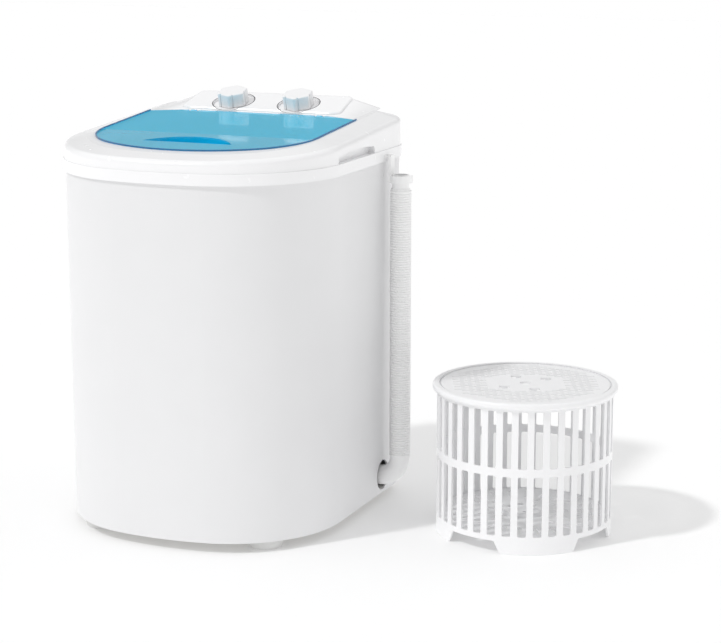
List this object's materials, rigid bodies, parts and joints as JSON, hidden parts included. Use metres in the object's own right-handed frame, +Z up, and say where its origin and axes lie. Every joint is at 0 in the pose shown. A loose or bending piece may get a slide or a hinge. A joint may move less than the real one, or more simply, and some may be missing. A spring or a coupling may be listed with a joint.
{
  "type": "portable washing machine",
  "caption": "Portable top-loading washing machine with hinged clear lid, two knobs, ribbed drain hose on a side hook and a separate slotted spin basket with its lid.",
  "frame": {"origin": "middle of the footprint of the washer and the basket together, on the floor they stand on", "axes": "+Z up, front of the washer towards -Y, drain hose side and spin basket towards +X"},
  "size_m": [0.6684, 0.3786, 0.5237],
  "materials": {
    "body_white": "satin white moulded plastic",
    "cover_white": "smooth white moulded plastic",
    "lid_blue": "clear blue moulded plastic",
    "knob_white": "smooth white moulded plastic",
    "tub_white": "smooth white moulded plastic",
    "pulsator_white": "smooth white moulded plastic",
    "base_plastic": "unpainted moulded plastic",
    "hose_plastic": "white flexible plastic",
    "inner_hose_grey": "grey flexible plastic",
    "basket_white": "smooth white moulded plastic",
    "foot_rubber": "pale grey rubber",
    "seal_rubber": "black rubber",
    "zinc_steel": "zinc-plated steel",
    "stainless": "turned stainless steel",
    "cast_alloy": "cast alloy",
    "bronze": "sintered bronze",
    "pulley_plastic": "glass-filled black plastic",
    "unit_plastic": "ivory switch housing",
    "capacitor_case": "capacitor case"
  },
  "bodies": {
    "washer": {"base_pan": "base_plastic", "base_shell": "body_white", "bearing_bushes": "bronze", "bearing_housing": "cast_alloy", "control_bracket": "zinc_steel", "control_screws": "zinc_steel", "cord_gland": "seal_rubber", "cover_screws": "zinc_steel", "drain_filter": "tub_white", "drain_outlet": "inner_hose_grey", "drive_belt": "seal_rubber", "drive_plate": "zinc_steel", "feet": "foot_rubber", "foot_screws": "zinc_steel", "hose_clamps": "zinc_steel", "hose_hook": "hose_plastic", "housing_bolts": "zinc_steel", "inner_drain_hose": "inner_hose_grey", "lid_hinge_pins": "zinc_steel", "motor_bolts": "zinc_steel", "motor_housing": "cast_alloy", "motor_mounts": "seal_rubber", "outer_shell": "body_white", "plate_screws": "zinc_steel", "rear_access_cover": "body_white", "rear_screws": "zinc_steel", "run_capacitor": "capacitor_case", "selector_switch": "unit_plastic", "shaft_seal": "seal_rubber", "supply_lead": "inner_hose_grey", "timer_unit": "unit_plastic", "top_cover": "cover_white", "tub_gasket": "seal_rubber", "tub_screws": "zinc_steel", "wash_tub": "tub_white"},
    "lid": {"lid": "lid_blue"},
    "timer": {"timer_knob": "knob_white", "timer_shaft": "stainless"},
    "selector": {"selector_knob": "knob_white", "selector_shaft": "stainless"},
    "agitator": {"drive_shaft": "stainless", "driven_pulley": "pulley_plastic", "pulley_nut": "zinc_steel", "pulsator": "pulsator_white", "pulsator_screw": "stainless"},
    "motor_rotor": {"motor_shaft": "stainless", "motor_pulley": "cast_alloy"},
    "drain_line": {"hose_elbow": "hose_plastic", "drain_hose": "hose_plastic", "hose_cuff": "hose_plastic"},
    "basket": {"spin_basket": "basket_white"},
    "basket_cap": {"basket_lid": "basket_white"}
  },
  "joints": [
    {"name": "lid_hinge", "type": "hinge", "parent": "washer", "child": "lid", "pos_m": [-0.1562, 0.0993, 0.49259], "axis": [-1, 0, 0], "range_deg": [0, 98]},
    {"name": "timer_turn", "type": "hinge", "parent": "washer", "child": "timer", "pos_m": [-0.2021, 0.1297, 0.5048], "axis": [0, -0.2687, 0.9632], "range_deg": [-300, 0]},
    {"name": "selector_turn", "type": "hinge", "parent": "washer", "child": "selector", "pos_m": [-0.1103, 0.1297, 0.5048], "axis": [0, -0.2687, 0.9632], "range_deg": [-45, 45]},
    {"name": "pulsator_spin", "type": "hinge", "parent": "washer", "child": "agitator", "pos_m": [-0.1562, -0.02, 0.18], "axis": [0, 0, 1], "continuous": true},
    {"name": "motor_spin", "type": "hinge", "parent": "washer", "child": "motor_rotor", "pos_m": [-0.2112, 0.108, 0.043], "axis": [0, 0, 1], "continuous": true},
    {"name": "hose_swing", "type": "hinge", "parent": "washer", "child": "drain_line", "pos_m": [0.0149, 0.1017, 0.0357], "axis": [-1, 0, 0], "range_deg": [0, 90]},
    {"name": "basket_lift", "type": "slide", "parent": "washer", "child": "basket", "axis": [0, 0, 1], "range_m": [0, 0.15]},
    {"name": "basket_lid_lift", "type": "slide", "parent": "basket", "child": "basket_cap", "axis": [0, 0, 1], "range_m": [0, 0.12]}
  ],
  "couplings": [
    {"joint": "motor_spin", "follows": "pulsator_spin", "ratio": 4.8938}
  ]
}
